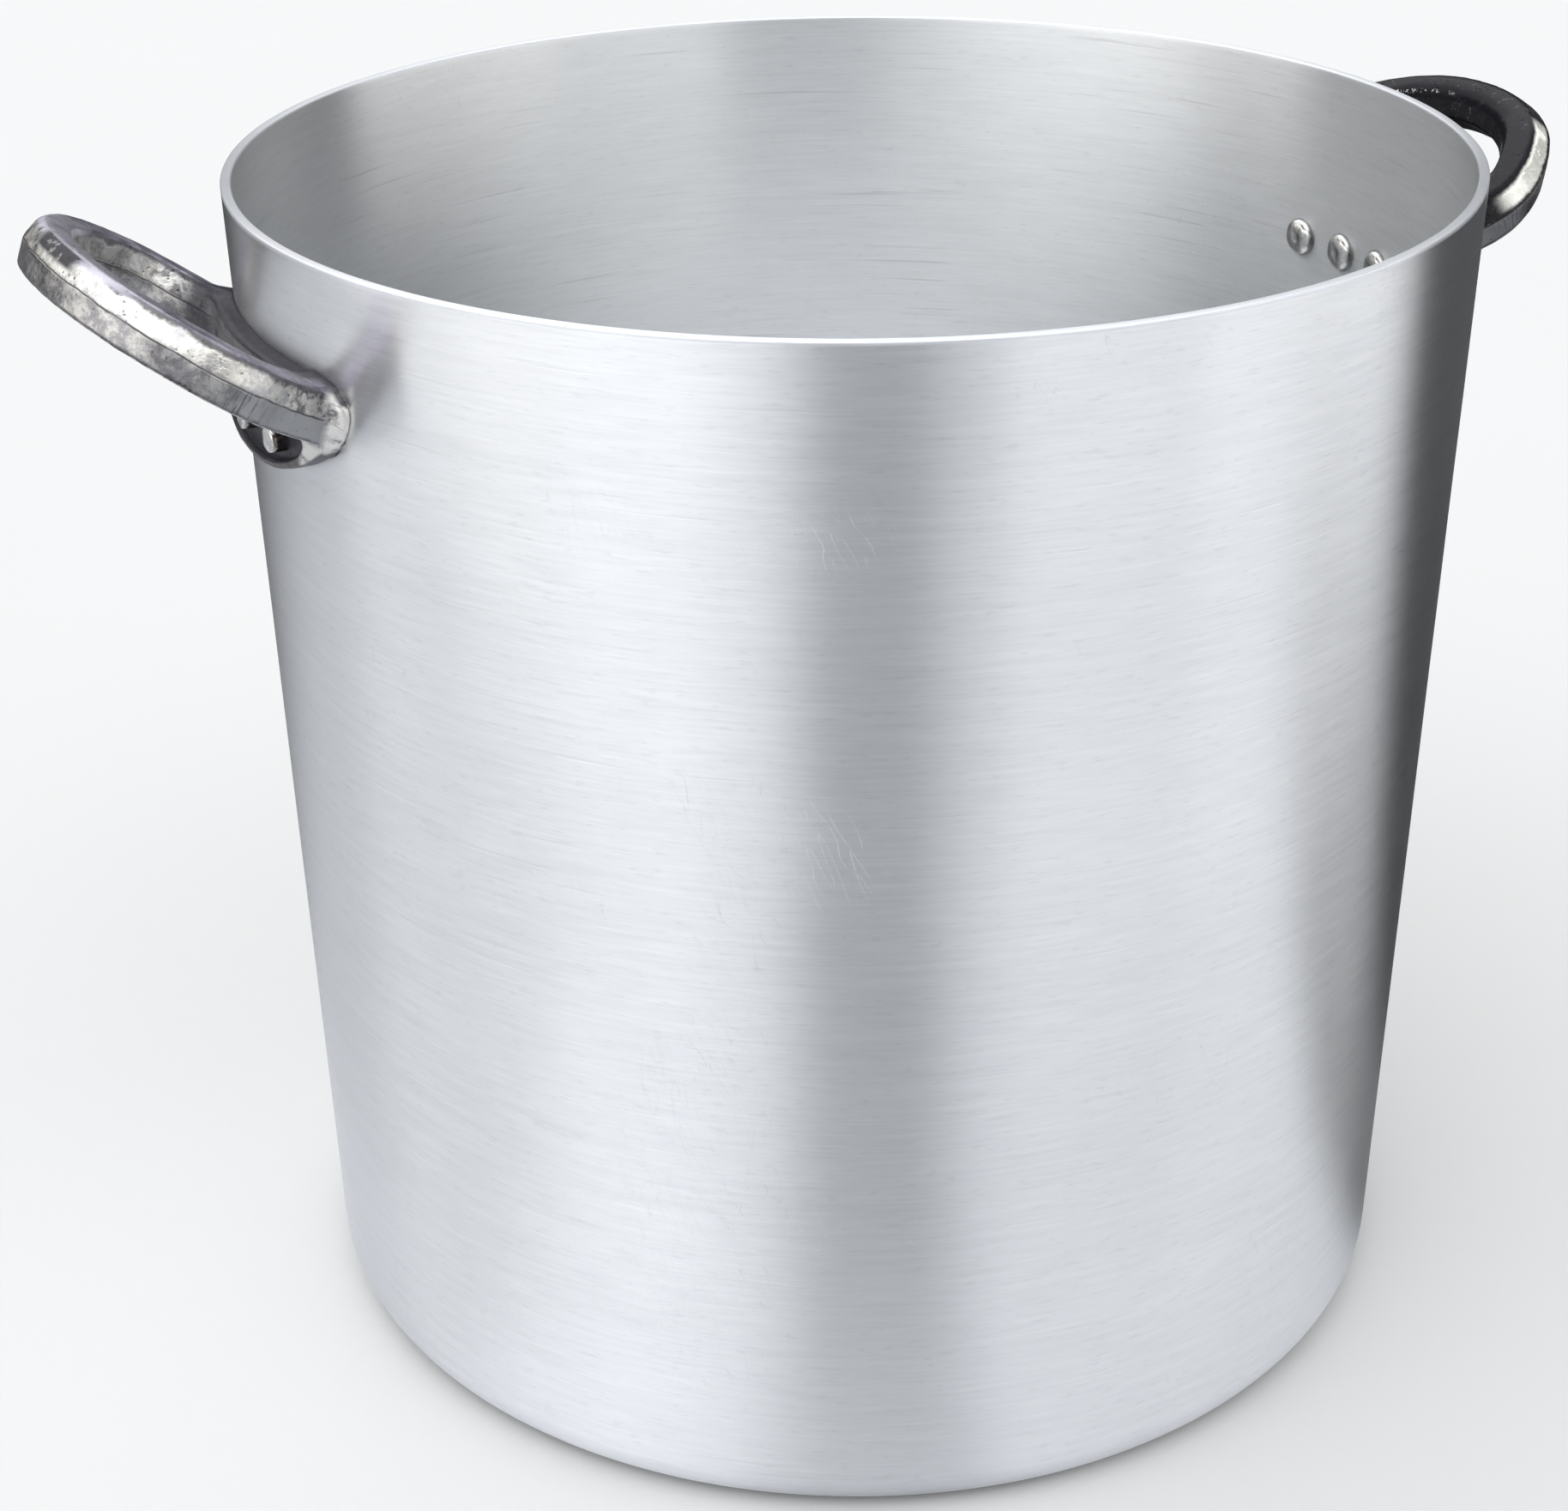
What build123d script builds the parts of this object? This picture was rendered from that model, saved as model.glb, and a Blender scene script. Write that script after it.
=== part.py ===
from build123d import *
import math
import os
from dataclasses import dataclass

# Stock pot: a drawn aluminium vessel with two cast ring handles, each held by
# three solid rivets.  Millimetres.  The origin is the centre of the base, +Z
# points up out of the mouth, and the handles lie on +X (right) and -X (left).

# -------------------------------------------------------------------- vessel
HEIGHT = 363.0  # table to the top of the rim
RIM_R = 183.0  # outside radius at the rim
BASE_R = 174.8  # outside radius the tapering wall would reach at the table
WALL = 3.0  # wall thickness, measured level
FLOOR = 4.0  # floor thickness
BASE_CORNER = 13.0  # outside radius between the wall and the floor
RIM_EDGE = 0.45  # edge break of the rim
TAPER = (RIM_R - BASE_R) / HEIGHT  # growth of the radius per millimetre of height

# ----------------------------------------------- saddle plate of the castings
PLATE_T = 6.0  # thickness around the edge
WEB_T = 3.2  # thickness in the rivet hollow
PLATE_HALF = 54.5  # half width along the wall
PLATE_TOP = 30.0  # level top edge, below the rim
PLATE_BOTTOM = 64.0  # lowest point of the lobe, below the rim
HOLLOW_MARGIN = 2.6  # lowest point of the hollow above that of the lobe

# Half outlines: distance along the wall, height from the rim
HALF_LOBE = [
    (PLATE_HALF - 0.5, -41.0), (51.5, -45.5), (45.0, -51.3),
    (34.0, -57.4), (18.0, -62.5),
]
HALF_HOLLOW = [(42.0, -46.0), (38.0, -51.6), (29.0, -56.8), (16.0, -60.3)]
# Rounded end of the plate: distance in from its half width, height from the rim
PLATE_END = [(0.0, -36.5), (6.0, -31.6), (16.0, -PLATE_TOP)]

# ---------------------------------------------------------- ring of the castings
RING_REACH = 63.0  # run from the wall to the middle of the grip in HALF_RING
# Half of the centreline: half width, run up the slope from the wall.  The arms
# flare from the plate's ends, then close.
HALF_RING = [
    (33.0, -13.0), (39.5, -5.5), (44.8, 2.0), (50.4, 11.0), (54.9, 20.0),
    (54.6, 29.0), (48.6, 40.0), (41.0, 48.5), (30.5, 56.0), (16.5, 61.2),
]
BAR_CORNER = 1.2  # rounding of the bar's six corners

# Blanks that are cut to shape by cones following the wall
BLANK_LENGTH = RIM_R + 20  # outward from the pot's axis
HOLLOW_OUT = 20.0  # the hollow's cutter, beyond the wall
HOLLOW_DEPTH = 85.0  # below the rim
PLATE_DEPTH = 90.0  # below the rim
SEAT_BELOW = 120.0  # seat cutter below the rim
SEAT_ABOVE = 60.0  # seat cutter above the rim

# -------------------------------------------------------------------- rivets
RIVET_DROP = 52.5  # rivet row below the rim, before the handle's own drop
RIVET_PITCH = 6.7  # degrees around the pot between rivets
RIVETS = {"front": -1, "centre": 0, "back": 1}  # pitches towards +Y
SHANK_R = 3.0
HEAD_R = 6.0
HEAD_H = 2.6
HEAD_EDGE = 0.5  # straight edge of the head, from the wall
HEAD_FLAT_R = 1.9
DOME_MID_H = 1.75  # point halfway along the dome: height, then radius
DOME_MID_R = HEAD_R * 0.8
TAIL_R = 3.7
TAIL_H = 3.6
TAIL_BEVEL = 1.0
RIVET_LAP = 1.0  # overlap of shank, head and tail before and after trimming


@dataclass
class Handle:
    name: str
    side: int  # direction along X
    drop: float  # lowers the plate and the rivet row
    plate_scale: float  # along the wall
    ring_root: float  # where the centreline leaves the wall, below the rim
    ring_rise: float  # slope of the ring, degrees
    ring_run: float  # wall to the middle of the grip, up the slope
    ring_width: float  # scales the half widths of HALF_RING
    bar_w: float  # bar width at the parting line
    bar_h: float  # bar height
    bar_flat: float  # flats on the top and bottom of the bar


# The castings are cousins, not twins: the right one is a little smaller, sits
# lower and slopes less.
HANDLES = [
    Handle(
        name="right", side=1, drop=3.5, plate_scale=0.93,
        ring_root=41.1, ring_rise=28.6, ring_run=55.6, ring_width=0.888,
        bar_w=16.4, bar_h=15.6, bar_flat=8.4,
    ),
    Handle(
        name="left", side=-1, drop=0.0, plate_scale=1.0,
        ring_root=37.8, ring_rise=34.0, ring_run=63.0, ring_width=1.028,
        bar_w=13.6, bar_h=14.5, bar_flat=10.1,
    ),
]


def wall_r(z):
    """Outside radius of the vessel's wall at height z."""
    return BASE_R + TAPER * z


def band(grow_in, grow_out, depth):
    """Section of a ring that follows the wall's taper, from depth below the rim up to it."""
    bottom = HEIGHT - depth
    return [
        (wall_r(bottom) + grow_in, bottom),
        (wall_r(bottom) + grow_out, bottom),
        (wall_r(HEIGHT) + grow_out, HEIGHT),
        (wall_r(HEIGHT) + grow_in, HEIGHT),
    ]


def mirrored(half, middle):
    """Whole outline from one half and the height or run of its middle point."""
    return half + [(0.0, middle)] + [(-x, y) for x, y in half[::-1]]


def plate_outline(handle, half, bottom):
    """Mirrored outline, scaled and lowered to suit the handle's plate."""
    level = HEIGHT - handle.drop
    return [(x * handle.plate_scale, level + z) for x, z in mirrored(half, bottom)]


def facing(handle):
    """Upright plane through the pot's axis that faces the handle."""
    return Plane(origin=(0, 0, 0), x_dir=(0, handle.side, 0), z_dir=(handle.side, 0, 0))


def ring_path(handle):
    """Points on the ring's centreline, from root to root around the grip."""
    rise = math.radians(handle.ring_rise)
    root = HEIGHT - handle.ring_root
    run_scale = handle.ring_run / RING_REACH
    points = []
    for x, run in mirrored(HALF_RING, RING_REACH):
        x, run = x * handle.ring_width, run * run_scale
        out = wall_r(root) + run * math.cos(rise)
        up = root + run * math.sin(rise)
        points.append((handle.side * out, handle.side * x, up))
    return points


def rivet_plane(handle, step):
    """Plane across a rivet, on the wall's outside, with z pointing outward."""
    angle = math.radians(step * RIVET_PITCH)
    out = (handle.side * math.cos(angle), math.sin(angle), 0)
    z = HEIGHT - RIVET_DROP - handle.drop
    return Plane(
        origin=(wall_r(z) * out[0], wall_r(z) * out[1], z),
        x_dir=(0, 0, 1),
        z_dir=out,
    )


def make_pot_body():
    """Revolved vessel with six rivet holes through its wall."""
    with BuildPart() as pot_body:
        with BuildSketch(Plane.YZ) as section:
            with BuildLine():
                Polyline(
                    (0, 0),
                    (BASE_R, 0),
                    (RIM_R, HEIGHT),
                    (RIM_R - WALL, HEIGHT),
                    (wall_r(FLOOR) - WALL, FLOOR),
                    (0, FLOOR),
                    close=True,
                )
            make_face()
            # outer base corner, inner floor corner, then both rim edges
            off_axis = section.vertices().filter_by(lambda v: v.X > 1)
            fillet(off_axis.group_by(Axis.Y)[0], BASE_CORNER)
            fillet(
                section.vertices().filter_by(
                    lambda v: abs(v.Y - FLOOR) < 0.01 and v.X > BASE_R - WALL - 3
                ),
                BASE_CORNER - WALL,
            )
            fillet(section.vertices().filter_by(lambda v: v.Y > HEIGHT - 0.01), RIM_EDGE)
        revolve(axis=Axis.Z)
        for handle in HANDLES:
            for step in RIVETS.values():
                for amount in (-2 * WALL, WALL):
                    with BuildSketch(rivet_plane(handle, step)):
                        Circle(SHANK_R)
                    extrude(amount=amount, mode=Mode.SUBTRACT)
    return pot_body.part


def make_hollow(handle):
    """Cutter for the hollow the rivets' tails sit in."""
    with BuildPart() as hollow:
        with BuildSketch(facing(handle)):
            with BuildLine():
                edge = Spline(*plate_outline(handle, HALF_HOLLOW, -PLATE_BOTTOM + HOLLOW_MARGIN))
                Line(edge @ 1, edge @ 0)
            make_face()
        extrude(amount=BLANK_LENGTH)
        with BuildSketch(Plane.YZ):
            Polygon(*band(WEB_T, HOLLOW_OUT, HOLLOW_DEPTH), align=None)
        revolve(axis=Axis.Z, mode=Mode.INTERSECT)
    return hollow.part


def make_handle(handle):
    """Casting: saddle plate with its hollow and rivet holes, and the ring."""
    hollow = make_hollow(handle)
    plate_half = PLATE_HALF * handle.plate_scale
    level = HEIGHT - handle.drop
    end = [(plate_half - inset, level + z) for inset, z in PLATE_END]
    bar_w, bar_h, bar_flat = handle.bar_w, handle.bar_h, handle.bar_flat

    with BuildPart() as casting:
        # saddle plate: level top edge, rounded ends, a lobe below
        with BuildSketch(facing(handle)):
            with BuildLine():
                lobe = Spline(*plate_outline(handle, HALF_LOBE, -PLATE_BOTTOM))
                rising_end = Spline(lobe @ 1, *[(-x, z) for x, z in end])
                top = Line(rising_end @ 1, end[-1])
                Spline(top @ 1, *end[-2::-1], lobe @ 0)
            make_face()
        extrude(amount=BLANK_LENGTH)
        with BuildSketch(Plane.YZ):
            Polygon(*band(0, PLATE_T, PLATE_DEPTH), align=None)
        revolve(axis=Axis.Z, mode=Mode.INTERSECT)
        add(hollow, mode=Mode.SUBTRACT)

        # ring: a six-sided bar swept along the arms and the grip
        with BuildLine() as grip:
            Spline(*ring_path(handle))
        along = grip.line % 0
        with BuildSketch(
            Plane(
                origin=grip.line @ 0,
                x_dir=along.cross(Vector(0, 1, 0)),
                z_dir=along,
            )
        ) as bar:
            Polygon(
                (0, bar_w / 2),
                (bar_h / 2, bar_flat / 2),
                (bar_h / 2, -bar_flat / 2),
                (0, -bar_w / 2),
                (-bar_h / 2, -bar_flat / 2),
                (-bar_h / 2, bar_flat / 2),
                align=None,
            )
            fillet(bar.vertices(), BAR_CORNER)
        sweep(path=grip.line)

        # seat: everything inside the wall's outer surface is removed
        seat_bottom, seat_top = HEIGHT - SEAT_BELOW, HEIGHT + SEAT_ABOVE
        with BuildSketch(Plane.YZ):
            Polygon(
                (0, seat_bottom),
                (wall_r(seat_bottom), seat_bottom),
                (wall_r(seat_top), seat_top),
                (0, seat_top),
                align=None,
            )
        revolve(axis=Axis.Z, mode=Mode.SUBTRACT)

        for step in RIVETS.values():
            with BuildSketch(rivet_plane(handle, step)):
                Circle(SHANK_R)
            extrude(amount=2 * PLATE_T, both=True, mode=Mode.SUBTRACT)
    return casting.part


def make_rivet(handle, step):
    """Rivet: domed head inside the vessel, shank, formed tail outside the plate."""
    across = rivet_plane(handle, step)
    head_front = -WALL + RIVET_LAP
    head_back = -WALL - HEAD_H
    tail_start = WEB_T - RIVET_LAP
    tail_end = WEB_T + TAIL_H

    with BuildPart() as rivet:
        # half sections: distance outward from the wall's outside, radius
        with BuildSketch(Plane(origin=across.origin, x_dir=across.z_dir, z_dir=across.y_dir)):
            with BuildLine():
                Polyline((head_front, 0), (head_front, HEAD_R), (-WALL - HEAD_EDGE, HEAD_R))
                ThreePointArc(
                    (-WALL - HEAD_EDGE, HEAD_R),
                    (-WALL - DOME_MID_H, DOME_MID_R),
                    (head_back, HEAD_FLAT_R),
                )
                Polyline((head_back, HEAD_FLAT_R), (head_back, 0), (head_front, 0))
            make_face()
            with BuildLine():
                Polyline(
                    (tail_start, 0),
                    (tail_start, TAIL_R),
                    (tail_end - TAIL_BEVEL, TAIL_R),
                    (tail_end, TAIL_R - TAIL_BEVEL),
                    (tail_end, 0),
                    close=True,
                )
            make_face()
        revolve(axis=Axis(across.origin, across.z_dir))
        # head and tail bear on the wall's inside and the plate's hollow
        with BuildSketch(Plane.YZ):
            Polygon(*band(-WALL, WEB_T, PLATE_DEPTH), align=None)
        revolve(axis=Axis.Z, mode=Mode.SUBTRACT)
        # shank, outward then inward from the wall's outside
        for amount in (WEB_T + RIVET_LAP, -WALL - RIVET_LAP):
            with BuildSketch(across):
                Circle(SHANK_R)
            extrude(amount=amount)
    return rivet.part


def export(part, name):
    """Label a piece and write its STEP file."""
    part.label = name
    export_step(part, f"parts/{name}.step")


os.makedirs("parts", exist_ok=True)
export(make_pot_body(), "pot_body")
for handle in HANDLES:
    export(make_handle(handle), f"handle_{handle.name}")
    for place, step in RIVETS.items():
        export(make_rivet(handle, step), f"rivet_{handle.name}_{place}")
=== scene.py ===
"""Stock pot with two riveted cast handles: modelled pieces, procedural metal and a studio.

The pot stands on z = 0 with its axis on z. The handles lie on +X ("right") and -X ("left"),
and "front" is towards -Y. The camera stands in front, turned a little towards -X.
Modelling is in millimetres; materials, stage and camera are in metres.
"""

import math
from types import SimpleNamespace

import bpy
import numpy as np
from mathutils import Matrix, Vector


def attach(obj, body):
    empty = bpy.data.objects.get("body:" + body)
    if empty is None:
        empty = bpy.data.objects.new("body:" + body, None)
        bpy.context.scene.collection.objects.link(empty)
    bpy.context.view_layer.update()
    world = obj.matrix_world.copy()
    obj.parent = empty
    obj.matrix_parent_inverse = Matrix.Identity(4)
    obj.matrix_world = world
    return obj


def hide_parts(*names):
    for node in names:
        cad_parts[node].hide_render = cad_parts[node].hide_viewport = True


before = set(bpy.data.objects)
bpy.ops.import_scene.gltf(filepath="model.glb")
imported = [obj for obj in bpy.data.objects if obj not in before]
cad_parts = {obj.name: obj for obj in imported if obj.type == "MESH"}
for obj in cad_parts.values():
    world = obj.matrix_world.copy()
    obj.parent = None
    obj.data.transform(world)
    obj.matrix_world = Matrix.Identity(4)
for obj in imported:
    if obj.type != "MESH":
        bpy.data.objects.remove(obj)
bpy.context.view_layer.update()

MM = 0.001

# ------------------------------------------------------------------ dimensions
# vessel, mm
HEIGHT, RIM_R, BASE_R, WALL, FLOOR = 363.0, 183.0, 174.8, 3.0, 4.0
BASE_CORNER = 13.0
RIM_EDGE = 0.55  # rounding of the rim's two edges
TAPER = (RIM_R - BASE_R) / HEIGHT

# rivets, mm, with their pitch in degrees round the pot
RIVET_PITCH = 6.7
SHANK_R, HEAD_R, HEAD_H, TAIL_R = 3.0, 6.0, 2.6, 3.7
DIMPLE_R = 2.1  # the set-down centre of a head
PLACES = {"front": -1, "centre": 0, "back": 1}

# handle saddles: a plate against the wall, thinned to a web inside its hollow
PLATE_T, PLATE_TOP, PLATE_BOTTOM, PLATE_HALF = 6.0, 30.0, 64.0, 54.5
WEB_T = 3.2
RING_REACH = 63.0  # how far the drawn ring runs out from its root
# drops and root are measured down from the rim; ring_rise is in degrees above level;
# bar_flat is the width of the bar's flat top and bottom
HANDLES = {
    "right": SimpleNamespace(
        side=1, rivet_drop=56.0, plate_drop=3.5, plate_scale=0.93,
        ring_root=41.1, ring_rise=28.6, ring_run=55.6, ring_width=0.888,
        bar_width=16.4, bar_height=15.6, bar_flat=8.4,
    ),
    "left": SimpleNamespace(
        side=-1, rivet_drop=52.5, plate_drop=0.0, plate_scale=1.0,
        ring_root=37.8, ring_rise=34.0, ring_run=63.0, ring_width=1.028,
        bar_width=13.6, bar_height=14.5, bar_flat=10.1,
    ),
}
# (handle, place, degrees round the pot)
HOLES = [
    (name, place, (0.0 if handle.side > 0 else 180.0) + step * RIVET_PITCH * handle.side)
    for name, handle in HANDLES.items()
    for place, step in PLACES.items()
]
HOLE_Z = {name: HEIGHT - handle.rivet_drop for name, handle in HANDLES.items()}

TURN = math.radians(26.7)  # from the model's frame to the view's
FLOOR_SEEN = (0.575, 0.573, 0.57)  # the paper's colour to the camera
CORNERS = [(i, j, k) for i in (0, 1) for j in (0, 1) for k in (0, 1)]


def wall_r(z):
    """Radius of the wall's outer face."""
    return BASE_R + TAPER * z


# ------------------------------------------------------------------ noise
def lattice(x, y, z, seed):
    """Hashed values in -1..1 at whole-number points."""
    mix = (x * 374761393 + y * 668265263 + z * 1440670441 + seed * 144664511) & 0xFFFFFFFF
    mix = ((mix ^ (mix >> 13)) * 1274126177) & 0xFFFFFFFF
    return ((mix ^ (mix >> 16)) & 0xFFFF) / 32767.5 - 1.0


def noise3(points, seed):
    """Smooth value noise in -1..1 at points (n, 3)."""
    cell = np.floor(points).astype(np.int64)
    part = points - cell
    part = part * part * part * (part * (part * 6 - 15) + 10)
    total = 0.0
    for corner in CORNERS:
        weight = np.where(corner, part, 1 - part).prod(axis=1)
        total = total + weight * lattice(*(cell + corner).T, seed)
    return total


def fbm(points, octaves, seed):
    """Noise summed over octaves, each half as strong as the last."""
    total, amplitude, norm = 0.0, 1.0, 0.0
    for octave in range(octaves):
        shifted = points * 2.0**octave + 17.3 * octave
        total = total + amplitude * noise3(shifted, seed + octave)
        norm += amplitude
        amplitude *= 0.5
    return total / norm


# ------------------------------------------------------------------ meshes
def make_mesh(name, vertices, faces, attributes):
    """A smooth mesh object from millimetre vertices, with one float per vertex per attribute."""
    mesh = bpy.data.meshes.new(name)
    places = (np.asarray(vertices, float) * MM).tolist()
    mesh.from_pydata(places, [], [tuple(int(i) for i in face) for face in faces])
    mesh.validate(clean_customdata=False)
    mesh.polygons.foreach_set("use_smooth", np.ones(len(mesh.polygons), bool))
    for key, values in attributes.items():
        layer = mesh.attributes.new(key, "FLOAT", "POINT")
        layer.data.foreach_set("value", np.asarray(values, np.float32))
    mesh.update()
    piece = bpy.data.objects.new(name, mesh)
    bpy.context.scene.collection.objects.link(piece)
    return piece


def lathe(profile, segments):
    """Turn (radius, height) rows round z.

    Returns the vertices, each row's ring of indices and each vertex's row. A row at radius 0
    is a single vertex, repeated round its ring.
    """
    turns = np.radians(np.arange(segments) * 360.0 / segments)
    vertices, rings, rows = [], [], []
    for row, (radius, height) in enumerate(profile):
        count = 1 if radius < 1e-6 else segments
        rings.append(len(vertices) + np.arange(segments) % count)
        vertices += [(radius * math.cos(t), radius * math.sin(t), height) for t in turns[:count]]
        rows += [row] * count
    return np.array(vertices), rings, np.array(rows)


def ring_faces(rings, skip=()):
    """Faces between consecutive closed rings, leaving out (ring, segment) pairs in skip."""
    faces = []
    for level, (lower, upper) in enumerate(zip(rings[:-1], rings[1:])):
        for j in range(len(lower)):
            if (level, j) in skip:
                continue
            after = (j + 1) % len(lower)
            quad = (lower[j], lower[after], upper[after], upper[j])
            faces.append(list(dict.fromkeys(quad)))  # a triangle at a pole
    return faces


# ------------------------------------------------------------------ shader expressions
class Graph:
    """Builds a shader tree from plain expressions."""

    def __init__(self, tree):
        self.tree = tree

    def node(self, kind, **settings):
        node = self.tree.nodes.new(kind)
        for key, value in settings.items():
            setattr(node, key, value)
        return node

    def plug(self, socket, value):
        if isinstance(value, Value):
            value = value.socket
        if isinstance(value, bpy.types.NodeSocket):
            self.tree.links.new(value, socket)
        else:
            socket.default_value = value

    def feed(self, node, inputs):
        """Plug values into a node's inputs, by name or number."""
        for key, value in inputs.items():
            self.plug(node.inputs[key], value)

    def output(self, node, values=(), out=0):
        """Plug values into a node's first inputs and give one output."""
        self.feed(node, dict(enumerate(values)))
        return Value(self, node.outputs[out])

    def source(self, kind, out):
        return Value(self, self.node(kind).outputs[out])

    def math(self, operation, *values):
        return self.output(self.node("ShaderNodeMath", operation=operation), values)

    def vec(self, x, y, z):
        return self.output(self.node("ShaderNodeCombineXYZ"), (x, y, z))

    def attribute(self, name):
        return self.output(self.node("ShaderNodeAttribute", attribute_name=name), out="Fac")

    def mix(self, factor, first, second):
        """Colour mix: first at factor 0, second at 1."""
        node = self.node("ShaderNodeMix", data_type="RGBA")
        self.feed(node, {0: factor, 6: with_alpha(first), 7: with_alpha(second)})
        return Value(self, node.outputs[2])

    def layers(self, base, coats):
        """Lay (amount, colour) coats over a base colour, one after another."""
        for amount, coat in coats:
            base = self.mix(amount, base, coat)
        return base

    def tint(self, tone, factor):
        """A colour times a number."""
        node = self.node("ShaderNodeVectorMath", operation="SCALE")
        self.feed(node, {0: tone, "Scale": factor})
        return Value(self, node.outputs[0])

    def bump(self, height, distance, strength):
        node = self.node("ShaderNodeBump")
        self.feed(node, {"Strength": strength, "Distance": distance, "Height": height})
        return Value(self, node.outputs[0])


def with_alpha(tone):
    return (*tone, 1.0) if isinstance(tone, tuple) else tone


class Value:
    """One value in a shader tree, with arithmetic."""

    def __init__(self, graph, socket):
        self.graph, self.socket = graph, socket

    def math(self, operation, *others):
        return self.graph.math(operation, self, *others)

    def __add__(self, other):
        return self.math("ADD", other)

    __radd__ = __add__

    def __sub__(self, other):
        return self.math("SUBTRACT", other)

    def __rsub__(self, other):
        return self.graph.math("SUBTRACT", other, self)

    def __mul__(self, other):
        return self.math("MULTIPLY", other)

    def __truediv__(self, other):
        return self.math("DIVIDE", other)

    def abs(self):
        return self.math("ABSOLUTE")

    def power(self, other):
        return self.math("POWER", other)

    def min(self, other):
        return self.math("MINIMUM", other)

    def max(self, other):
        return self.math("MAXIMUM", other)

    def xyz(self):
        node = self.graph.node("ShaderNodeSeparateXYZ")
        self.graph.plug(node.inputs[0], self)
        return [Value(self.graph, out) for out in node.outputs]

    def step(self, start, end, before=0.0, after=1.0):
        """Smooth step: before up to start, after beyond end."""
        node = self.graph.node("ShaderNodeMapRange", interpolation_type="SMOOTHSTEP", clamp=True)
        return self.graph.output(node, (self, start, end, before, after))

    def fall(self, start, end):
        """Smooth step down: 1 up to start, 0 beyond end."""
        return self.step(start, end, before=1.0, after=0.0)

    def band(self, low, high, soft):
        """1 between low and high, fading over soft to either side of each limit."""
        return self.step(low - soft, low + soft) * self.fall(high - soft, high + soft)

    def noise(self, scale=1.0, detail=2.0, rough=0.5, distort=0.0):
        """Noise texture with this value as its place."""
        node = self.graph.node("ShaderNodeTexNoise")
        inputs = {"Scale": scale, "Detail": detail, "Roughness": rough, "Distortion": distort}
        self.graph.feed(node, {"Vector": self, **inputs})
        return Value(self.graph, node.outputs[0])

    def voronoi(self, scale):
        node = self.graph.node("ShaderNodeTexVoronoi")
        self.graph.feed(node, {"Vector": self, "Scale": scale})
        return Value(self.graph, node.outputs["Distance"])


def azimuth(x, y):
    """Degrees round the pot's axis: 0 towards the camera, positive to its right."""
    cos, sin = math.cos(TURN), math.sin(TURN)
    return (x * cos - y * sin).math("ARCTAN2", (x * sin + y * cos) * -1.0) * (180 / math.pi)


def new_material(name, metallic=1.0):
    """A material with one principled shader, and the object coordinates to paint it by."""
    material = bpy.data.materials.new(name)
    material.use_nodes = True
    material.node_tree.nodes.clear()
    graph = Graph(material.node_tree)
    out = graph.node("ShaderNodeOutputMaterial")
    shader = graph.node("ShaderNodeBsdfPrincipled")
    graph.plug(out.inputs["Surface"], shader.outputs[0])
    shader.inputs["Metallic"].default_value = metallic
    return material, graph, shader, graph.source("ShaderNodeTexCoord", "Object")


# ------------------------------------------------------------------ pot metal
def pot_material():
    """Spun aluminium: brushed around the axis, satin, with faint scratches."""
    outer, inner, rim = (0.885, 0.893, 0.905), (0.80, 0.812, 0.825), (0.70, 0.715, 0.75)
    material, graph, shader, coords = new_material("pot_aluminium")
    vec = graph.vec
    x, y, z = coords.xyz()
    radius = (x * x + y * y).power(0.5)
    unit_x, unit_y = x / (radius + 1e-5), y / (radius + 1e-5)
    level = z + radius * 1.7  # runs on across the base as well as up the wall
    inside = graph.attribute("inside")

    # brushing marks: long around the pot, short up the wall
    fine = vec(unit_x * 9.0, unit_y * 9.0, level * 1500.0).noise(detail=3.0, rough=0.6)
    middle = vec(unit_x * 5.0 + 3.1, unit_y * 5.0, level * 420.0).noise(rough=0.6)
    broad = vec(unit_x * 2.2, unit_y * 2.2 + 7.7, level * 60.0).noise()
    # short, stronger dashes where the brush skipped
    dash = vec(unit_x * 34.0, unit_y * 34.0 + 1.3, level * 900.0).noise(detail=1.0)
    dash = dash.step(0.62, 0.74)
    # long dark turning lines, mostly on the inside
    turned = vec(unit_x * 3.0 + 9.0, unit_y * 3.0, level * 700.0).noise(detail=1.0)
    turned = turned.step(0.66, 0.78)
    # smears and stains
    stain = vec(x * 9.0, y * 9.0, z * 7.0).noise(detail=4.0, rough=0.62, distort=0.4)
    # crossing hairline scratches, in patches
    warp = vec(x * 12.0, y * 12.0, z * 12.0).noise(detail=1.0)
    hair = vec(unit_x * 60.0 + z * 160.0, unit_y * 60.0, z * 14.0 + warp * 3.0).noise(detail=0.0)
    hair = (hair - 0.5).abs().fall(0.0, 0.006) * warp.step(0.56, 0.66)
    # the rim's cut land is duller and catches the ceiling
    land = inside.band(0.06, 0.64, soft=0.03)

    tone = (fine - 0.5) * 0.16 + (middle - 0.5) * 0.10 + (broad - 0.5) * 0.05
    tone = tone + (stain - 0.5) * 0.05
    base = graph.mix(land, graph.mix(inside, outer, inner), rim)
    shade = 1.0 + tone - dash * 0.05 - hair * 0.10 - turned * (0.04 + inside * 0.10)
    height = fine * 0.5 + middle * 0.6 + dash * 0.25 - hair * 0.5 - turned * 0.5
    tangent = graph.node("ShaderNodeTangent", direction_type="RADIAL", axis="Z")
    graph.feed(shader, {
        "Base Color": graph.tint(base, shade),
        "Roughness": 0.31 + (fine - 0.5) * 0.12 + (stain - 0.5) * 0.08 + inside * 0.08,
        "Metallic": 1.0 - land * 0.45,
        "Anisotropic": 0.95,
        "Anisotropic Rotation": 0.25,
        "Tangent": tangent.outputs[0],
        "Normal": graph.bump(height, distance=0.00006, strength=0.7),
    })
    return material


# ------------------------------------------------------------------ handle metal
CAST_DARK = (0.055, 0.05, 0.062)


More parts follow.
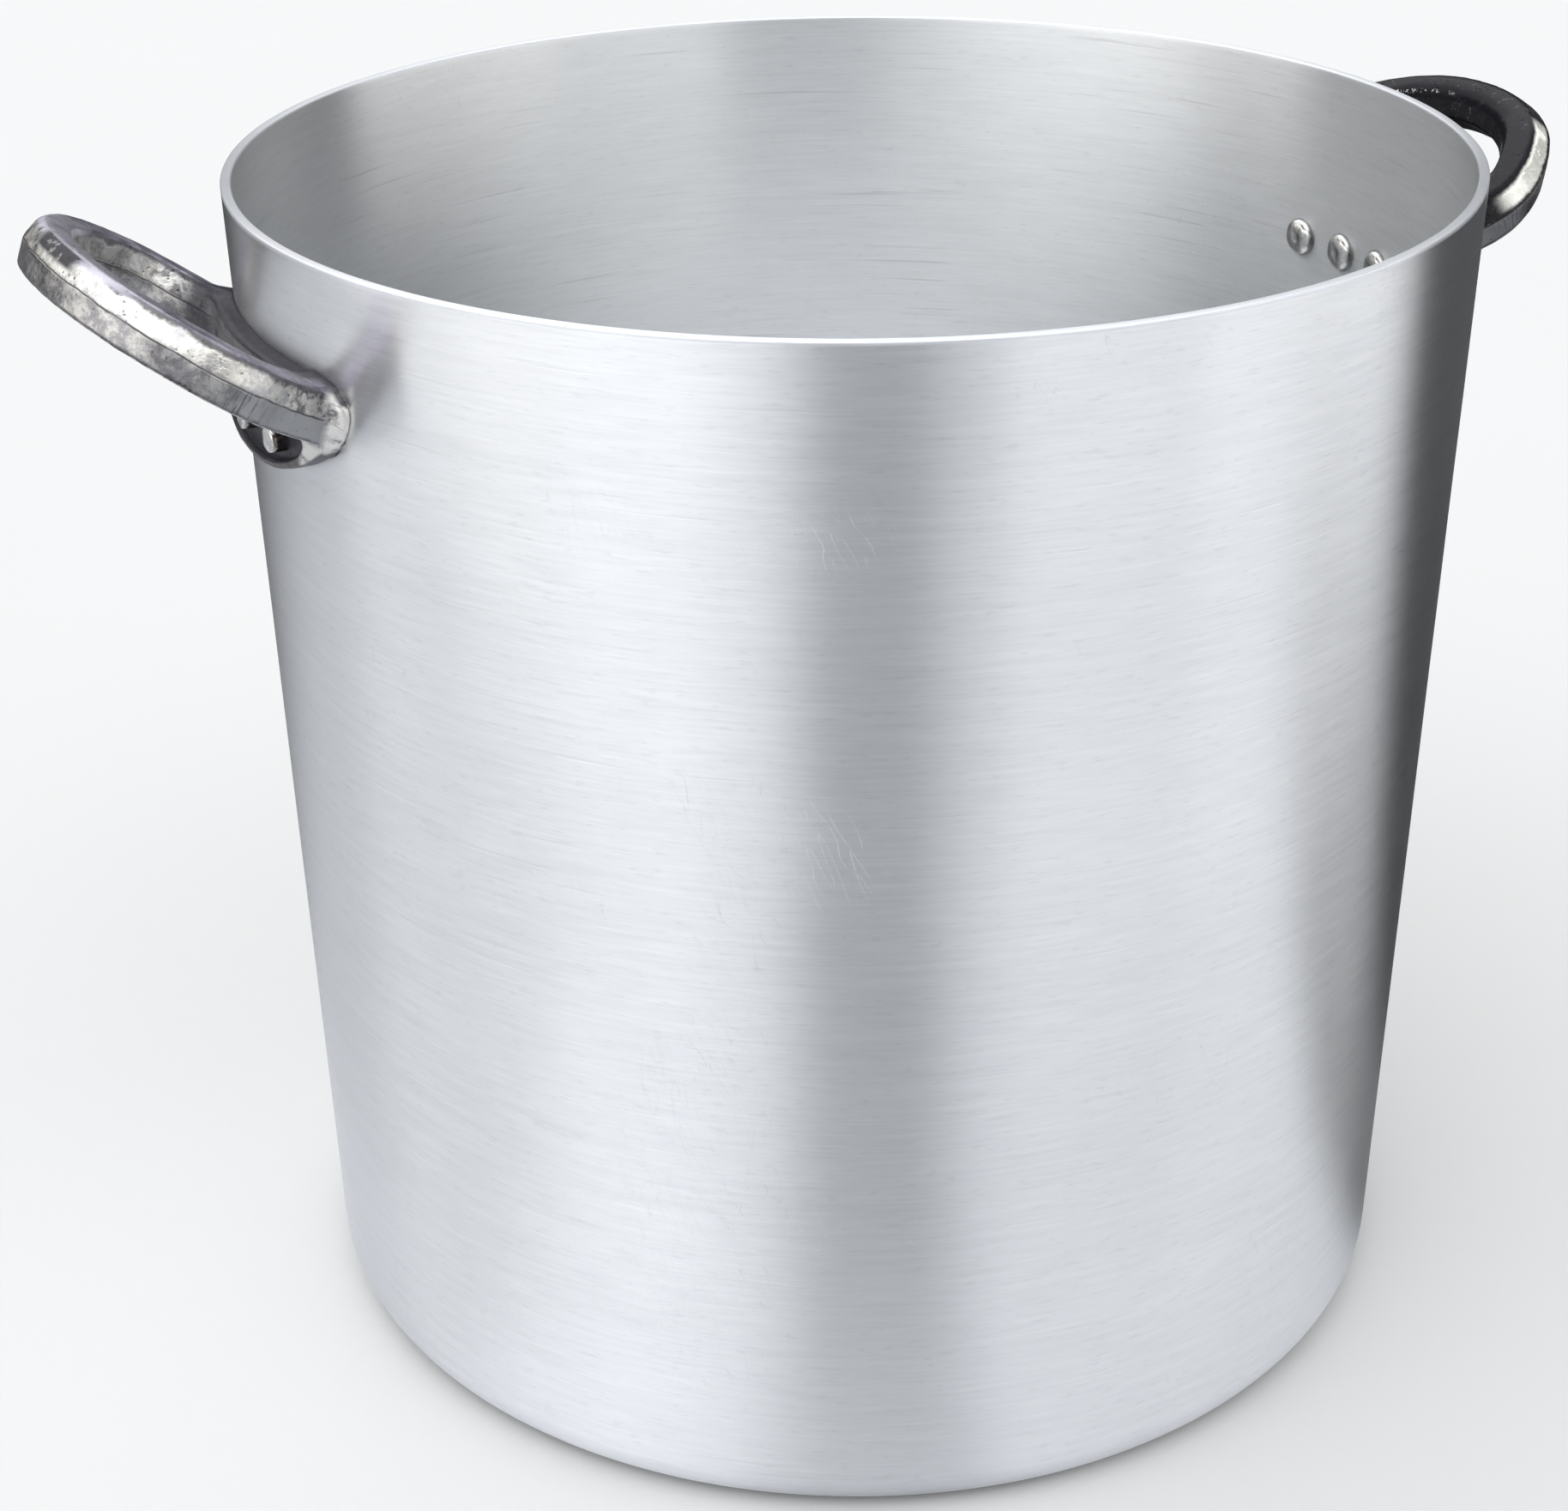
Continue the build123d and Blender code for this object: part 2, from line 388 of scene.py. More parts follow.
def casting_inputs(graph, coords):
    """Where a point lies on the casting (mm), and the noises that break up its marks."""
    return SimpleNamespace(
        out=graph.attribute("bar_a"),  # from the bar's centreline, away from the pot
        up=graph.attribute("bar_b"),  # from the bar's centreline, upwards
        along=graph.attribute("bar_s"),  # along the bar from the grip's middle, negative one way
        run=graph.attribute("bar_run"),  # outwards from the roots
        plate=graph.attribute("plate"),
        off_wall=graph.attribute("off_wall"),
        # 1 on the right casting, which is painted with shade
        painted_shade_right=graph.attribute("painted_shade_right"),
        coords=coords,
        mottle=coords.noise(scale=170.0, detail=6.0, rough=0.68, distort=0.3),
        cloud=coords.noise(scale=46.0, detail=3.0, rough=0.6, distort=0.4),
        grain=coords.noise(scale=900.0, detail=3.0, rough=0.7),
        wander=coords.noise(scale=120.0, detail=2.0, rough=0.6),
        pit_hole=coords.voronoi(scale=620.0).fall(0.10, 0.36),
        pit_mask=coords.noise(scale=210.0, detail=3.0, rough=0.7).step(0.52, 0.66),
    )


def facet_colour(graph, at):
    """The bar's facets with a painted highlight above and painted shade below, the ground faces
    near the roots and the parting line.
    """
    facet_highlight_cream, grey = (0.70, 0.685, 0.645), (0.40, 0.395, 0.40)
    shaded_facet_dark, shaded_facet_light = (0.22, 0.215, 0.225), (0.50, 0.49, 0.475)
    ground_light, ground_dark = (0.36, 0.365, 0.38), (0.12, 0.115, 0.13)
    line_dark = (0.05, 0.048, 0.052)
    mottle, grain = at.mottle, at.grain
    at.upper = upper = at.up.step(-0.5, 0.5)
    # the upper facets are painted cream, a painted highlight of the light they face; the lower ones
    # are painted a darker mottled grey as their shade
    bright = graph.mix((mottle + (grain - 0.5) * 0.3).step(0.36, 0.56), grey, facet_highlight_cream)
    shaded_facets = graph.mix((mottle + (grain - 0.5) * 0.3).step(0.40, 0.64), shaded_facet_dark, shaded_facet_light)
    at.patches = (at.cloud + (mottle - 0.5) * 0.5).step(0.52, 0.68)
    # ground flat below the parting line where the arms meet the saddle
    at.ground = at.run.fall(24.0, 30.0) * at.out.step(0.0, 1.5) * (1.0 - upper)
    hatch = graph.vec(at.along * 2.6, at.up * 0.12, 4.0).noise(detail=1.0).step(0.50, 0.60)
    hatch = hatch * at.run.step(14.0, 26.0) * 0.8
    # dark mottling creeps up the bright facet near the roots
    creep = (at.run + (at.cloud - 0.5) * 60.0).fall(12.0, 30.0) * mottle.step(0.46, 0.60)
    # the parting line wanders about the bar's middle height
    line = (at.up + (at.wander - 0.5) * 1.3).abs().fall(0.06, 0.42)
    at.line = line * mottle.step(0.30, 0.50, before=0.45)
    return graph.layers(graph.mix(upper, shaded_facets, bright), [
        (at.patches * (0.85 - upper * 0.45), CAST_DARK),
        (at.ground * 0.9, graph.mix(hatch, ground_light, ground_dark)),
        (creep * upper * 0.85, CAST_DARK),
        (at.line * 0.9, line_dark),
    ])


def edge_colour(graph, at, base):
    """Tarnished edges, a painted highlight along the bottom edge, the film on the flat top, painted
    near-black shade on the right casting, and a burnt patch.
    """
    painted_low_edge_highlight, burnt_black = (0.78, 0.77, 0.76), (0.02, 0.018, 0.022)
    film_dark, film_light = (0.13, 0.12, 0.155), (0.33, 0.315, 0.38)
    film_grip, film_painted_shade = (0.58, 0.565, 0.64), (0.045, 0.043, 0.052)
    mottle = at.mottle
    # tarnish collects along the top and bottom edges, ragged towards the facet
    at.edge = (at.up + (mottle - 0.5) * 5.0).step(4.7, 6.1)
    edge_low = (at.up * -1.0 + (mottle - 0.5) * 3.0).step(5.9, 6.9)
    # a painted highlight: a pale band along the bottom edge, where it catches the light
    low_edge_highlight = (at.up * -1.0).step(6.7, 7.0) * mottle.step(0.40, 0.55)
    # the flat top: soft lavender film, paler at the grip; on the right casting it is painted
    # near-black as painted shade
    at.top = at.up.step(6.55, 6.95)
    grip = at.run.step(45.0, 57.0)
    film = graph.layers(graph.mix(mottle.step(0.36, 0.62), film_dark, film_light), [
        (grip * 0.85, film_grip),
        (at.painted_shade_right * 0.93, film_painted_shade),
    ])
    at.grip_top = (at.up + at.run * 0.055).step(7.6, 8.9) * grip
    # a burnt patch on the upper outer facet of the left grip, towards the front
    burnt = (at.along + (at.cloud - 0.5) * 14.0).band(-24.0, 3.0, soft=4.0)
    burnt = burnt * at.up.step(1.6, 3.2) * at.up.fall(6.4, 7.0)
    burnt = burnt * at.out.step(-1.0, 1.5) * mottle.step(0.34, 0.46)
    at.burnt = burnt * (1.0 - at.painted_shade_right)
    return graph.layers(base, [
        ((at.edge * 0.86).max(edge_low * 0.7), CAST_DARK),
        (low_edge_highlight * 0.7, painted_low_edge_highlight),
        ((at.top * 0.9).max(at.grip_top * 0.85), film),
        (at.burnt * 0.95, burnt_black),
    ])


def saddle_colour(graph, at, base):
    """The saddle with painted shade in its hollow and on its ledge and a painted highlight on its
    lip, painted black shade on the inner sides of the roots, and pits all over.
    """
    hollow_shade, lip_highlight = (0.12, 0.115, 0.13), (0.82, 0.80, 0.765)
    ledge_shade, root_shade = (0.045, 0.042, 0.055), (0.03, 0.028, 0.036)
    pit_dark = (0.035, 0.033, 0.036)
    mottle = at.mottle
    # painted shade on the up-facing ledge under the arm and in the hollow; a painted highlight on
    # the raised lip along the lobe and on the plate's ends
    normal_z = graph.source("ShaderNodeNewGeometry", "Normal").xyz()[2]
    at.ledge = normal_z.step(0.25, 0.6)
    ends = at.coords.xyz()[1].abs().step(0.0465, 0.0495)
    lip = at.off_wall.step(4.3, 5.4).max(ends)
    saddle = graph.mix(lip * mottle.step(0.30, 0.50), hollow_shade, lip_highlight)
    ledge_shade_break = mottle.step(0.46, 0.66, before=0.97, after=0.7)
    saddle = graph.mix(at.ledge * ledge_shade_break, saddle, ledge_shade)
    at.plate = (at.plate * 1.5).min(1.0)
    # painted shade: the inner sides of the roots, where arm, saddle and wall meet, are painted
    # near-black
    at.root = (at.run + (mottle - 0.5) * 10.0).fall(5.0, 13.0) * at.out.fall(-2.0, 0.5)
    return graph.layers(base, [
        (at.plate, saddle),
        (at.root * 0.9, root_shade),
        (at.pit_hole * at.pit_mask * 0.85, pit_dark),
    ])


def right_shade_colour(graph, at, base):
    """The right casting is painted near-black as painted shade, the dark reflection of the unlit
    side of the studio, except where painted highlights and lighter patches lift it.
    """
    painted_shade_black, painted_highlight_cream = (0.010, 0.009, 0.012), (0.86, 0.85, 0.79)
    mottle, grain = at.mottle, at.grain
    spark = (mottle + (grain - 0.5) * 0.6).step(0.60, 0.70) * 0.35
    # a painted highlight: a cream streak along the outer side of the front arm
    streak = (at.up + (mottle - 0.5) * 2.0).band(1.4, 6.0, soft=0.7)
    streak = streak * at.along.band(32.0, 66.0, soft=3.0) * at.out.step(0.0, 1.0)
    at.streak = streak
    # a painted highlight: sparkle on the inner top edge, on the other half of the ring
    sparkle = at.up.band(6.4, 7.7, soft=0.4) * at.out.fall(-4.2, -3.2)
    sparkle = sparkle * grain.step(0.54, 0.62) * at.along.step(0.0, -20.0)
    # the painted shade is lifted on the lower outer side, towards the front
    low = (1.0 - at.upper) * at.out.step(0.0, 1.0) * at.along.step(8.0, 20.0) * 0.55
    shade_lifted = streak.max(spark).max(low).max(sparkle)
    at.skin = at.painted_shade_right * (1.0 - shade_lifted)
    return graph.layers(base, [
        (at.skin * 0.97, painted_shade_black),
        (at.painted_shade_right * streak.max(sparkle) * 0.92, painted_highlight_cream),
    ])


def casting_matte(at):
    """How far scale, tarnished edges and the painted shade (the right casting's dark skin, the
    ledge, the roots' inner sides) hide the bare metal.
    """
    matte = (at.skin * 0.97).max(at.burnt).max(at.edge * 0.8 * (1.0 - at.top * 0.6))
    matte = matte.max(at.ledge * at.plate * 0.85).max(at.root * 0.85)
    matte = matte.max(at.patches * 0.5 * (1.0 - at.top))
    return matte.max(at.pit_hole * at.pit_mask * 0.8).max(at.line * 0.6)


def handle_material():
    """Polished casting: mottled facets with a painted highlight above and painted shade below, a
    dark parting line, pitted, tarnished edges, and painted shade and highlights on the saddle and
    the right casting.
    """
    material, graph, shader, coords = new_material("handle_metal")
    at = casting_inputs(graph, coords)
    base = facet_colour(graph, at)
    for paint in (edge_colour, saddle_colour, right_shade_colour):
        base = paint(graph, at, base)
    matte = casting_matte(at)
    rough = 0.31 + (at.mottle - 0.4) * 0.30 + (at.grain - 0.5) * 0.16 + at.edge * 0.04
    rough = rough + at.ground * 0.08 - at.grip_top * 0.08 - at.painted_shade_right * 0.08
    height = at.mottle * 0.55 + at.grain * 0.35 - at.pit_hole * at.pit_mask * 0.9
    height = height - at.line * 0.7 - at.edge * at.mottle * 0.8
    graph.feed(shader, {
        "Metallic": 1.0 - matte * 0.95 - at.painted_shade_right * at.streak * 0.45,
        "Specular IOR Level": 0.5 - matte * 0.44,
        "Base Color": base,
        "Roughness": rough.max(0.10),
        "Normal": graph.bump(height, distance=0.00030, strength=0.8),
    })
    return material


# ------------------------------------------------------------------ rivet metal
def rivet_material():
    """Polished rivets: duller set-down centre, painted contact shade at the foot and painted shade
    on the tails' sides.
    """
    grey, bright = (0.60, 0.59, 0.575), (0.84, 0.83, 0.805)
    centre_dull, foot_contact_shade, tail_side_shade = (0.24, 0.23, 0.23), (0.10, 0.10, 0.105), (0.12, 0.095, 0.08)
    material, graph, shader, coords = new_material("rivet_metal")
    mottle = coords.noise(scale=420.0, detail=4.0, rough=0.6, distort=0.5)
    grain = coords.noise(scale=2400.0, detail=2.0, rough=0.6)
    radius, tail = graph.attribute("from_axis"), graph.attribute("tail")
    head = 1.0 - tail.step(0.01, 0.05)
    side = tail.band(0.06, 0.86, soft=0.05) * mottle.step(0.30, 0.62, before=0.95, after=0.65)
    base = graph.layers(graph.mix(mottle.step(0.38, 0.64), grey, bright), [
        (radius.fall(1.2, 2.3) * head * 0.55, centre_dull),
        # painted shade: a dark contact line round the head's foot
        ((radius + (mottle - 0.5) * 1.2).step(5.45, 6.0) * 0.8, foot_contact_shade),
        # painted shade on the tails' sides; their end faces stay light
        (side, tail_side_shade),
    ])
    graph.feed(shader, {
        "Base Color": base,
        "Roughness": (0.20 + (mottle - 0.5) * 0.22 + (grain - 0.5) * 0.08).max(0.08),
        "Normal": graph.bump(mottle + grain * 0.3, distance=0.00012, strength=0.7),
    })
    return material


# ------------------------------------------------------------------ floor paper
def reflected_sheet(x, y):
    """Brightness of the paper as the metal sees it, round the pot and by distance (m)."""
    around = azimuth(x, y)
    radius = (x * x + y * y).power(0.5)
    # close to the pot the paper is painted brighter to the metal, painted light making up for the
    # shade the pot casts there
    near = radius.fall(0.19, 0.36)
    sheet = around.step(-155.0, -105.0) * around.step(99.0, 117.0, before=1.0, after=0.10)
    sheet = sheet * around.step(-50.0, -15.0, before=0.88)
    # a darker gap towards the camera, and a lighter strip to its left
    gap = around.band(-9.0, 14.0, soft=7.0) * (0.21 - near * 0.10)
    strip = around.band(-48.0, -20.0, soft=10.0) * 0.08
    sheet = sheet * (0.44 - gap + strip + near * 0.08)
    # painted shade on the paper beside the pot, to the right, as the metal sees it
    return sheet * (1.0 - radius.fall(0.35, 1.1) * around.step(72.0, 88.0) * 0.75)


def floor_material():
    """Pale studio paper; the metal sees a greyer sheet that fades out behind."""
    material, graph, shader, coords = new_material("studio_paper", metallic=0.0)
    fibre = coords.noise(scale=700.0, detail=3.0, rough=0.6)
    cloud = coords.noise(scale=3.0, detail=2.0, rough=0.5)
    shade = 0.985 + (fibre - 0.5) * 0.015 + (cloud - 0.5) * 0.015
    sheet = reflected_sheet(*coords.xyz()[:2])
    seen = graph.source("ShaderNodeLightPath", "Is Camera Ray")
    tone = graph.mix(seen, graph.vec(sheet * 0.98, sheet, sheet * 1.045), FLOOR_SEEN)
    graph.feed(shader, {
        "Base Color": graph.tint(tone, shade),
        "Roughness": 0.9,
        "Specular IOR Level": 0.1,
        "Normal": graph.bump(fibre, distance=0.0001, strength=0.2),
    })
    return material


# ------------------------------------------------------------------ pot body
def arc(centre_r, centre_z, radius, start, stop, count):
    """Points (r, z) of an arc between two angles in degrees."""
    angles = [math.radians(start + (stop - start) * k / count) for k in range(count + 1)]
    return [(centre_r + radius * math.cos(t), centre_z + radius * math.sin(t)) for t in angles]


def pot_profile():
    """The shell's section as (r, z, inside) rows, from the underside's centre over the rim.

    Also gives the numbers of the outer and inner rows at the right rivets' height.
    """
    slope = math.atan(TAPER)
    slope_deg = math.degrees(slope)

    def corner(radius, bottom, offset):
        """Centre of an arc touching z = bottom and the wall line moved inwards by offset."""
        z = bottom + radius
        return wall_r(z) - offset - radius / math.cos(slope), z

    inner_corner = BASE_CORNER - WALL
    outer_r, outer_z = corner(BASE_CORNER, 0.0, 0.0)
    inner_r, inner_z = corner(inner_corner, FLOOR, WALL)
    floor_rows = 44
    rows = []

    def add(points, inside):
        rows.extend((r, z, inside) for r, z in points)

    # underside, with shallow lathe rings turned into it
    for r in [0.0, 1.5, 3.5] + list(np.linspace(7, outer_r, floor_rows)):
        dip = 0.0
        if 7 < r < outer_r - 2:
            dip = 0.10 + 0.06 * math.sin(r * 1.9) + 0.04 * math.sin(r * 0.53)
        if r <= 3.5:
            dip = 0.35
        rows.append((r, dip, 0.0))
    add(arc(outer_r, outer_z, BASE_CORNER, -90, -slope_deg, 14)[1:], 0.0)

    # wall rows, one of them exactly at the right rivets; the left ones are 3.5 above
    pitch = 3.5
    hole_level = HOLE_Z["right"]
    below = list(np.arange(hole_level - pitch, rows[-1][1] + 2.0, -pitch)[::-1])
    levels = below + list(np.arange(hole_level, HEIGHT - 3.0, pitch))
    outer_hole_row = len(rows) + len(below)
    add([(wall_r(z), z) for z in levels], 0.0)

    # rim: outer edge, land, inner edge
    shoulder, top_r, edge_z = HEIGHT - 1.6, wall_r(HEIGHT), HEIGHT - RIM_EDGE
    add([(wall_r(shoulder), shoulder)], 0.0)
    add(arc(top_r - RIM_EDGE, edge_z, RIM_EDGE, -slope_deg, 90, 5), 0.1)
    add([(top_r - WALL / 2, HEIGHT)], 0.3)
    add(arc(top_r - WALL + RIM_EDGE, edge_z, RIM_EDGE, 90, 180, 5), 0.6)
    add([(wall_r(shoulder) - WALL, shoulder)], 1.0)

    inner_levels = [z for z in levels[::-1] if z > inner_z + 3]
    inner_hole_row = len(rows) + int(np.argmin([abs(z - hole_level) for z in inner_levels]))
    add([(wall_r(z) - WALL, z) for z in inner_levels], 1.0)
    add(arc(inner_r, inner_z, inner_corner, -slope_deg, -90, 12), 1.0)
    for r in list(np.linspace(inner_r, 7, floor_rows))[1:] + [3.5, 1.5, 0.0]:
        rise = 0.0
        if r < inner_r - 2:
            rise = 0.05 * math.sin(r * 1.3) * math.sin(r * 0.21)
        rows.append((r, FLOOR + rise, 1.0))
    return np.array(rows), outer_hole_row, inner_hole_row


def spun_waves(vertices):
    """Slight waviness of spun metal, the same on both faces of the wall."""
    radius = np.hypot(vertices[:, 0], vertices[:, 1])
    live = np.clip((vertices[:, 2] - 20) / 60, 0, 1) * (radius > 100)
    unit = vertices[:, :2] / np.maximum(radius, 1e-6)[:, None]
    wave = 0.0
    # depth, waves around, height of a wave, seed
    for depth, around, tall, seed in ((0.16, 2.3, 120.0, 5), (0.035, 6.0, 30.0, 9)):
        points = np.column_stack([unit * around, vertices[:, 2] / tall])
        wave = wave + depth * noise3(points, seed)
    return unit * (wave * live)[:, None]


def build_pot():
    """The vessel as one lathed shell with rounded edges and six rivet holes."""
    segments = 360
    half = 2  # half the width of the square patch opened for each hole
    profile, outer_row, inner_row = pot_profile()
    vertices, rings, rows = lathe(profile[:, :2], segments)
    vertices[:, :2] += spun_waves(vertices)
    vertices, inside = list(vertices), list(profile[rows, 2])

    # per hole: middle segment, angle, height, and its patch rows as (row, direction, depth)
    patches = []
    for name, _, angle in HOLES:
        lift = 1 if name == "left" else 0
        faces_of_wall = ((outer_row + lift, 1, 0.0), (inner_row - lift, -1, WALL))
        middle = int(round(angle * segments / 360.0)) % segments
        patches.append((middle, angle, HOLE_Z[name], faces_of_wall))
    skip = {
        (row + i, (middle + j) % segments)
        for middle, _, _, faces_of_wall in patches
        for row, _, _ in faces_of_wall
        for i in range(-half, half)
        for j in range(-half, half)
    }
    faces = ring_faces(rings, skip)

    # a patch's border as (row, segment) steps, anticlockwise seen from outside
    forward, backward = range(-half, half), range(half, -half, -1)
    border = [(-half, j) for j in forward] + [(i, half) for i in forward]
    border += [(half, j) for j in backward] + [(i, -half) for i in backward]
    for middle, angle, hole_z, faces_of_wall in patches:
        bore = []
        for row, direction, depth in faces_of_wall:
            loops = [[rings[row + i * direction][(middle + j) % segments] for i, j in border]]
            for radius in (SHANK_R + 1.4, SHANK_R):
                loops.append(list(range(len(vertices), len(vertices) + len(border))))
                for i, j in border:
                    t = math.atan2(i, j)
                    z = hole_z + radius * math.sin(t)
                    r = wall_r(z) - depth
                    turn = math.radians(angle) + radius * math.cos(t) / r
                    vertices.append(np.array([r * math.cos(turn), r * math.sin(turn), z]))
                    inside.append(1.0 if depth else 0.0)
            faces += [face[::direction] for face in ring_faces(loops)]
            bore.append(loops[-1])
        faces += ring_faces(bore)
    return make_mesh("pot_shell", vertices, faces, {"inside": inside})


# ------------------------------------------------------------------ rivets
def rivet_profile():
    """(radius, distance out from the wall's outer face), from the head inside to the tail."""
    top = -WALL - HEAD_H
    profile = [(0.0, top + 0.42), (0.7, top + 0.40), (1.25, top + 0.28), (1.7, top + 0.08)]
    for k in range(11):  # the dome
        t = k / 10 * math.pi / 2
        radius = DIMPLE_R + (HEAD_R - DIMPLE_R) * math.sin(t)
        profile.append((radius, top + 0.06 + (HEAD_H - 0.55) * (1 - math.cos(t))))
    # the head's foot
    profile += [(HEAD_R + 0.02, -WALL - 0.28), (HEAD_R - 0.12, -WALL + 0.18)]
    profile += [(SHANK_R + 0.2, -WALL + 0.2), (SHANK_R, -WALL + 0.35)]
    profile += [(SHANK_R, WEB_T - 0.1)]
    # the upset tail, standing on the web
    profile += [(TAIL_R + 0.1, WEB_T - 0.12), (TAIL_R + 0.3, WEB_T + 0.2)]
    profile += [(TAIL_R + 0.3, WEB_T + 1.4), (TAIL_R + 0.2, WEB_T + 2.8)]
    profile += [(TAIL_R + 0.12, WEB_T + 3.9), (TAIL_R - 0.1, WEB_T + 4.35)]
    profile += [(TAIL_R - 0.6, WEB_T + 4.5), (1.6, WEB_T + 4.45), (0.0, WEB_T + 4.4)]
    return np.array(profile)


def build_rivet(name, angle, level, seed):
    """Domed head with a small set-down centre, shank, and an upset tail."""
    profile = rivet_profile()
    vertices, rings, rows = lathe(profile, 48)
    depth = vertices[:, 2].copy()
    tail = np.clip((depth - WEB_T) / 4.6, 0, 1)
    # hammered and polished by hand: shallow facets, never the same twice
    places = vertices / 2.4 + np.array([seed * 9.1, 0.0, 0.0])
    in_head, in_tail = depth < -WALL - 0.3, depth > WEB_T + 0.3
    dent = noise3(places, seed) * 0.13
    vertices[:, 2] += dent * np.where(in_head, 1.0, np.where(in_tail, 1.4, 0.0))
    lean = noise3(places * 0.3, seed + 3)
    vertices[:, 0] += np.where(vertices[:, 2] > WEB_T + 0.3, lean * 0.25, 0)
    # place across the wall: local x along it, y up, z out
    turn = math.radians(angle)
    out = np.array([math.cos(turn), math.sin(turn), 0.0])
    up = np.array([0.0, 0.0, 1.0])
    axes = np.array([np.cross(up, out), up, out])
    world = wall_r(level) * out + level * up + vertices @ axes
    attributes = {"from_axis": profile[rows, 0], "tail": tail}
    return make_mesh(name, world, ring_faces(rings), attributes)


# ------------------------------------------------------------------ handle outlines
# half the ring's centreline: (sideways, outwards from the root), mm
HALF_RING = [
    (33.0, -13.0), (39.5, -5.5), (44.8, 2.0), (50.4, 11.0), (54.9, 20.0),
    (54.6, 29.0), (48.6, 40.0), (41.0, 48.5), (30.5, 56.0), (16.5, 61.2),
]
# half the saddle's lower edge and half its hollow's: (sideways, up from the plate's level), mm
HALF_LOBE = [
    (PLATE_HALF - 0.5, -41.0), (51.5, -45.5), (45.0, -51.3), (34.0, -57.4), (18.0, -62.5),
]
HALF_HOLLOW = [(42.0, -46.0), (38.0, -51.6), (29.0, -56.8), (16.0, -60.3)]


def mirrored(half, middle):
    """A half outline, its point on the centre line, and the half mirrored."""
    return half + [(0.0, middle)] + [(-x, y) for x, y in half[::-1]]


def cubic(points, count):
    """Natural cubic spline through points, sampled count times evenly in length."""
    knots = np.asarray(points, float)
    at = np.concatenate([[0], np.cumsum(np.linalg.norm(np.diff(knots, axis=0), axis=1))])
    gap = np.diff(at)
    size = len(knots)
    matrix = np.zeros((size, size))
    target = np.zeros((size, knots.shape[1]))
    matrix[0, 0] = matrix[-1, -1] = 1
    for i in range(1, size - 1):
        matrix[i, i - 1 : i + 2] = gap[i - 1], 2 * (gap[i - 1] + gap[i]), gap[i]
        rise = (knots[i + 1] - knots[i]) / gap[i]
        target[i] = 6 * (rise - (knots[i] - knots[i - 1]) / gap[i - 1])
    bend = np.linalg.solve(matrix, target)

    def sample(where):
        k = np.clip(np.searchsorted(at, where, side="right") - 1, 0, size - 2)
        d = (where - at[k])[:, None]
        span = gap[k][:, None]
        rise = (knots[k + 1] - knots[k]) / span
        return (
            knots[k]
            + d * (rise - span * (2 * bend[k] + bend[k + 1]) / 6)
            + d**2 * bend[k] / 2
            + d**3 * (bend[k + 1] - bend[k]) / (6 * span)
        )

    where = np.linspace(0, at[-1], 4 * count)
    lengths = np.linalg.norm(np.diff(sample(where), axis=0), axis=1)
    travelled = np.concatenate([[0], np.cumsum(lengths)])
    return sample(np.interp(np.linspace(0, travelled[-1], count), travelled, where))


def ring_path(handle):
    """Centreline in the handle's own frame: out from the pot's axis, along, up."""
    rise = math.radians(handle.ring_rise)
    root = HEIGHT - handle.ring_root
    stretch = handle.ring_run / RING_REACH
    return [
        (
            wall_r(root) + run * stretch * math.cos(rise),
            x * handle.ring_width,
            root + run * stretch * math.sin(rise),
        )
        for x, run in mirrored(HALF_RING, RING_REACH)
    ]


def saddle_outline(scale, level):
    """Closed outline of the saddle plate as (y, z)."""
    lobe = [(x * scale, level + z) for x, z in mirrored(HALF_LOBE, -PLATE_BOTTOM)]
    end = -PLATE_HALF * scale
    shoulder = [(end, level - 36.5), (end + 6, level - 31.6), (end + 16, level - PLATE_TOP)]
    left = cubic([lobe[-1]] + shoulder, 16)[1:]
    right = left[::-1] * np.array([-1, 1])
    return np.concatenate([cubic(lobe, 60), left, right])


def polygon_field(polygon):
    """A sampler of the signed distance to a closed (y, z) polygon, held on a grid."""
    step = 0.5
    grid_y = np.arange(-75.0, 75.0 + step, step)
    grid_z = np.arange(HEIGHT - 90.0, HEIGHT + 25.0 + step, step)
    all_y, all_z = np.meshgrid(grid_y, grid_z, indexing="ij")
    points = np.stack([all_y.ravel(), all_z.ravel()], 1)
    best = np.full(len(points), 1e9)
    inside = np.zeros(len(points), bool)
    for start, stop in zip(polygon, np.roll(polygon, -1, axis=0)):
        edge = stop - start
        t = np.clip(((points - start) @ edge) / max(edge @ edge, 1e-12), 0, 1)
        best = np.minimum(best, np.linalg.norm(points - start - t[:, None] * edge, axis=1))
        spans = (start[1] > points[:, 1]) != (stop[1] > points[:, 1])
        with np.errstate(divide="ignore", invalid="ignore"):
            crossing = edge[0] * (points[:, 1] - start[1]) / edge[1] + start[0]
        inside ^= spans & (points[:, 0] < crossing)
    field = np.where(inside, -best, best).reshape(all_y.shape)

    def sample(y, z):
        u = np.clip((y - grid_y[0]) / step, 0, len(grid_y) - 1.001)
        v = np.clip((z - grid_z[0]) / step, 0, len(grid_z) - 1.001)
        i, j = u.astype(int), v.astype(int)
        u, v = u - i, v - j
        return (
            field[i, j] * (1 - u) * (1 - v)
            + field[i + 1, j] * u * (1 - v)
            + field[i, j + 1] * (1 - u) * v
            + field[i + 1, j + 1] * u * v
        )

    return sample


# ------------------------------------------------------------------ handle field
def smin(first, second, blend):
    """Minimum with a rounded join."""
    h = np.clip(0.5 + 0.5 * (second - first) / blend, 0, 1)
    return second + (first - second) * h - blend * h * (1 - h)


def smax(first, second, blend):
    return -smin(-first, -second, blend)


def ease(t):
    """Smooth 0..1 from t, clipped."""
    t = np.clip(t, 0, 1)
    return t * t * (3 - 2 * t)


